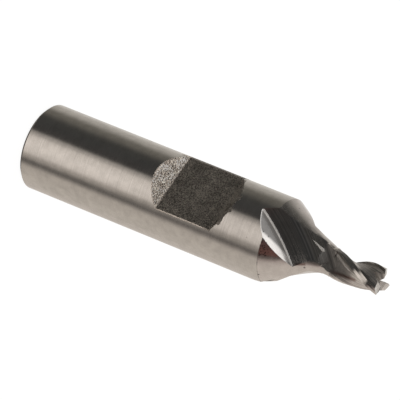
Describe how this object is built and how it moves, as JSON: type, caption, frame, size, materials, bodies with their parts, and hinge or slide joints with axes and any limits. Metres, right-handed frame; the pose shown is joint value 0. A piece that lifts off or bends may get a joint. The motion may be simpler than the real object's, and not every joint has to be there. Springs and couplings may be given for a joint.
{
  "type": "end mill",
  "caption": "Ground end mill: round shank with a driving flat, tapering to a short, slender helical-fluted cutting end.",
  "frame": {"origin": "centre of the shank's rear face", "axes": "+Z along the tool's axis towards the cutting end, -Y out of the driving flat, +X through the corner of one end tooth"},
  "size_m": [0.01, 0.01, 0.0448],
  "materials": {
    "tool_steel": "ground bright, dark in the flutes and on the floor of the flat"
  },
  "bodies": {
    "root": {"end_mill": "tool_steel"}
  },
  "joints": []
}
